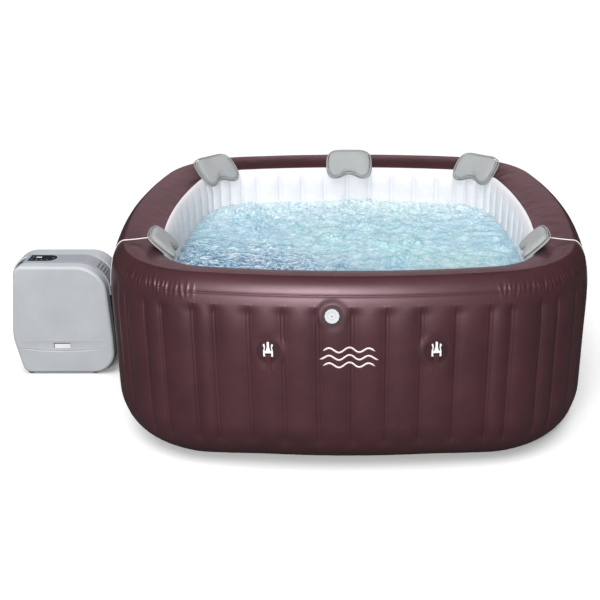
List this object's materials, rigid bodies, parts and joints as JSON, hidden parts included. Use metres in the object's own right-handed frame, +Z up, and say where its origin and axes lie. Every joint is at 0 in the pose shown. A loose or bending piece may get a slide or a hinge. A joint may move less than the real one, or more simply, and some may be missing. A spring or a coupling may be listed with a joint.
{
  "type": "inflatable hot tub",
  "caption": "Square inflatable hot tub with rounded corners, fluted air walls, padded headrests, swivel jets and a pump unit at its side.",
  "frame": {"origin": "centre of the tub's plan, on the underside of its base", "axes": "+X to the right with the pump unit at -X, +Y to the back, +Z up; the side with the air valve faces -Y"},
  "size_m": [2.5902, 2.0234, 0.873],
  "materials": {
    "brown_pvc": "matte",
    "white_pvc": "satin",
    "grey_case": "satin",
    "charcoal_plastic": "matte",
    "dark_nozzle": "gloss",
    "black_gloss": "gloss",
    "black_rubber": "matte",
    "steel": "brushed",
    "brown_webbing": "woven",
    "white_cord": "braided",
    "white_plastic": "satin",
    "grey_pad": "soft vinyl over foam",
    "button_grey": "matte",
    "circuit_board": "matte",
    "filter_paper": "pleated"
  },
  "bodies": {
    "tub": {"outer_wall": "brown_pvc", "top_ring": "brown_pvc", "inner_wall": "white_pvc", "floor_liner": "white_pvc", "base_sheet": "brown_pvc", "wall_beams": "white_pvc", "air_channel": "white_pvc", "jet_manifold": "white_pvc", "jet_sockets": "grey_case", "valve_body": "charcoal_plastic", "clip_patches": "brown_pvc", "clip_straps": "brown_webbing", "pillow_cords": "white_cord", "cord_anchors": "brown_pvc", "pump_front_cover": "grey_case", "pump_rear_cover": "grey_case", "pump_core_casing": "charcoal_plastic", "pump_top_trim": "grey_case", "control_panel": "black_gloss", "badge_plate": "grey_case", "pump_feet": "black_rubber", "cover_screws": "steel", "wall_fittings": "charcoal_plastic", "coupling_pipes": "black_rubber", "coupling_seals": "black_rubber", "jet_pump_housing": "charcoal_plastic", "filter_pump": "charcoal_plastic", "blower_housing": "charcoal_plastic", "heater": "grey_case", "control_board": "circuit_board", "power_cable": "black_rubber"},
    "headrest_back": {"pillow_1": "grey_pad"},
    "headrest_back_left": {"pillow_2": "grey_pad"},
    "headrest_back_right": {"pillow_3": "grey_pad"},
    "headrest_front_left": {"pillow_4": "grey_pad"},
    "headrest_front_right": {"pillow_5": "grey_pad"},
    "cover_clip_front_left": {"clip_buckle_1": "white_plastic"},
    "cover_clip_front_right": {"clip_buckle_2": "white_plastic"},
    "cover_clip_back_right": {"clip_buckle_3": "white_plastic"},
    "cover_clip_back_left": {"clip_buckle_4": "white_plastic"},
    "air_valve_cap": {"valve_cap": "grey_case"},
    "jet_1": {"jet_nozzle_1": "dark_nozzle"},
    "jet_2": {"jet_nozzle_2": "dark_nozzle"},
    "jet_3": {"jet_nozzle_3": "dark_nozzle"},
    "jet_4": {"jet_nozzle_4": "dark_nozzle"},
    "jet_5": {"jet_nozzle_5": "dark_nozzle"},
    "jet_6": {"jet_nozzle_6": "dark_nozzle"},
    "jet_7": {"jet_nozzle_7": "dark_nozzle"},
    "jet_8": {"jet_nozzle_8": "dark_nozzle"},
    "up_button": {"button_up": "button_grey"},
    "down_button": {"button_down": "button_grey"},
    "heat_button": {"button_heat": "button_grey"},
    "filter_button": {"button_filter": "button_grey"},
    "bubbles_button": {"button_bubbles": "button_grey"},
    "jets_button": {"button_jets": "button_grey"},
    "inlet_nut": {"union_nut_inlet": "black_rubber"},
    "outlet_nut": {"union_nut_outlet": "black_rubber"},
    "pump_rotor": {"jet_pump_impeller": "white_plastic"},
    "blower_rotor": {"blower_fan": "white_plastic"},
    "filter": {"filter_cartridge": "filter_paper"}
  },
  "joints": [
    {"name": "headrest_back_lift", "type": "hinge", "parent": "tub", "child": "headrest_back", "pos_m": [0, 0.86397, 0.83987], "axis": [-1, 0, 0], "range_deg": [0, 60]},
    {"name": "headrest_back_left_lift", "type": "hinge", "parent": "tub", "child": "headrest_back_left", "pos_m": [-0.7426, 0.70765, 0.83987], "axis": [-0.6518, -0.7584, 0], "range_deg": [0, 60]},
    {"name": "headrest_back_right_lift", "type": "hinge", "parent": "tub", "child": "headrest_back_right", "pos_m": [0.70765, 0.7426, 0.83987], "axis": [-0.7584, 0.6518, 0], "range_deg": [0, 60]},
    {"name": "headrest_front_left_lift", "type": "hinge", "parent": "tub", "child": "headrest_front_left", "pos_m": [-0.82125, -0.52477, 0.83987], "axis": [0.1618, -0.9868, 0], "range_deg": [0, 60]},
    {"name": "headrest_front_right_lift", "type": "hinge", "parent": "tub", "child": "headrest_front_right", "pos_m": [0.82125, -0.52477, 0.83987], "axis": [0.1618, 0.9868, 0], "range_deg": [0, 60]},
    {"name": "cover_clip_front_left_swing", "type": "hinge", "parent": "tub", "child": "cover_clip_front_left", "pos_m": [-0.29528, -0.99962, 0.513], "axis": [0.9962, -0.087, 0], "range_deg": [0, 150]},
    {"name": "cover_clip_front_right_swing", "type": "hinge", "parent": "tub", "child": "cover_clip_front_right", "pos_m": [0.31923, -0.99745, 0.513], "axis": [0.9956, 0.0941, 0], "range_deg": [0, 150]},
    {"name": "cover_clip_back_right_swing", "type": "hinge", "parent": "tub", "child": "cover_clip_back_right", "pos_m": [0.29528, 0.99962, 0.513], "axis": [-0.9962, 0.087, 0], "range_deg": [0, 150]},
    {"name": "cover_clip_back_left_swing", "type": "hinge", "parent": "tub", "child": "cover_clip_back_left", "pos_m": [-0.31923, 0.99745, 0.513], "axis": [-0.9956, -0.0941, 0], "range_deg": [0, 150]},
    {"name": "air_valve_cap_turn", "type": "hinge", "parent": "tub", "child": "air_valve_cap", "pos_m": [-0.06089, -0.99825, 0.672], "axis": [-0.0178, -0.9894, 0.1444], "range_deg": [0, 270]},
    {"name": "jet_1_swivel", "type": "hinge", "parent": "tub", "child": "jet_1", "pos_m": [0.76832, 0.29382, 0.4], "axis": [0, 0, 1], "range_deg": [-12, 12]},
    {"name": "jet_2_swivel", "type": "hinge", "parent": "tub", "child": "jet_2", "pos_m": [0.29382, 0.76832, 0.4], "axis": [0, 0, 1], "range_deg": [-12, 12]},
    {"name": "jet_3_swivel", "type": "hinge", "parent": "tub", "child": "jet_3", "pos_m": [-0.29382, 0.76832, 0.4], "axis": [0, 0, 1], "range_deg": [-12, 12]},
    {"name": "jet_4_swivel", "type": "hinge", "parent": "tub", "child": "jet_4", "pos_m": [-0.76832, 0.29382, 0.4], "axis": [0, 0, 1], "range_deg": [-12, 12]},
    {"name": "jet_5_swivel", "type": "hinge", "parent": "tub", "child": "jet_5", "pos_m": [-0.76832, -0.29382, 0.4], "axis": [0, 0, 1], "range_deg": [-12, 12]},
    {"name": "jet_6_swivel", "type": "hinge", "parent": "tub", "child": "jet_6", "pos_m": [-0.29382, -0.76832, 0.4], "axis": [0, 0, 1], "range_deg": [-12, 12]},
    {"name": "jet_7_swivel", "type": "hinge", "parent": "tub", "child": "jet_7", "pos_m": [0.29382, -0.76832, 0.4], "axis": [0, 0, 1], "range_deg": [-12, 12]},
    {"name": "jet_8_swivel", "type": "hinge", "parent": "tub", "child": "jet_8", "pos_m": [0.76832, -0.29382, 0.4], "axis": [0, 0, 1], "range_deg": [-12, 12]},
    {"name": "up_button_press", "type": "slide", "parent": "tub", "child": "up_button", "axis": [0, 0, -1], "range_m": [0, 0.0015]},
    {"name": "down_button_press", "type": "slide", "parent": "tub", "child": "down_button", "axis": [0, 0, -1], "range_m": [0, 0.0015]},
    {"name": "heat_button_press", "type": "slide", "parent": "tub", "child": "heat_button", "axis": [0, 0, -1], "range_m": [0, 0.0015]},
    {"name": "filter_button_press", "type": "slide", "parent": "tub", "child": "filter_button", "axis": [0, 0, -1], "range_m": [0, 0.0015]},
    {"name": "bubbles_button_press", "type": "slide", "parent": "tub", "child": "bubbles_button", "axis": [0, 0, -1], "range_m": [0, 0.0015]},
    {"name": "jets_button_press", "type": "slide", "parent": "tub", "child": "jets_button", "axis": [0, 0, -1], "range_m": [0, 0.0015]},
    {"name": "inlet_nut_turn", "type": "hinge", "parent": "tub", "child": "inlet_nut", "pos_m": [-1.047, -0.009, 0.15], "axis": [1, 0, 0], "continuous": true},
    {"name": "outlet_nut_turn", "type": "hinge", "parent": "tub", "child": "outlet_nut", "pos_m": [-1.047, -0.009, 0.33], "axis": [1, 0, 0], "continuous": true},
    {"name": "jet_pump_spin", "type": "hinge", "parent": "tub", "child": "pump_rotor", "pos_m": [-1.4, -0.009, 0.165], "axis": [0, -1, 0], "continuous": true},
    {"name": "blower_spin", "type": "hinge", "parent": "tub", "child": "blower_rotor", "pos_m": [-1.395, -0.009, 0.35], "axis": [0, -1, 0], "continuous": true},
    {"name": "filter_pull_off", "type": "slide", "parent": "tub", "child": "filter", "axis": [1, 0, 0], "range_m": [0, 0.12]}
  ]
}
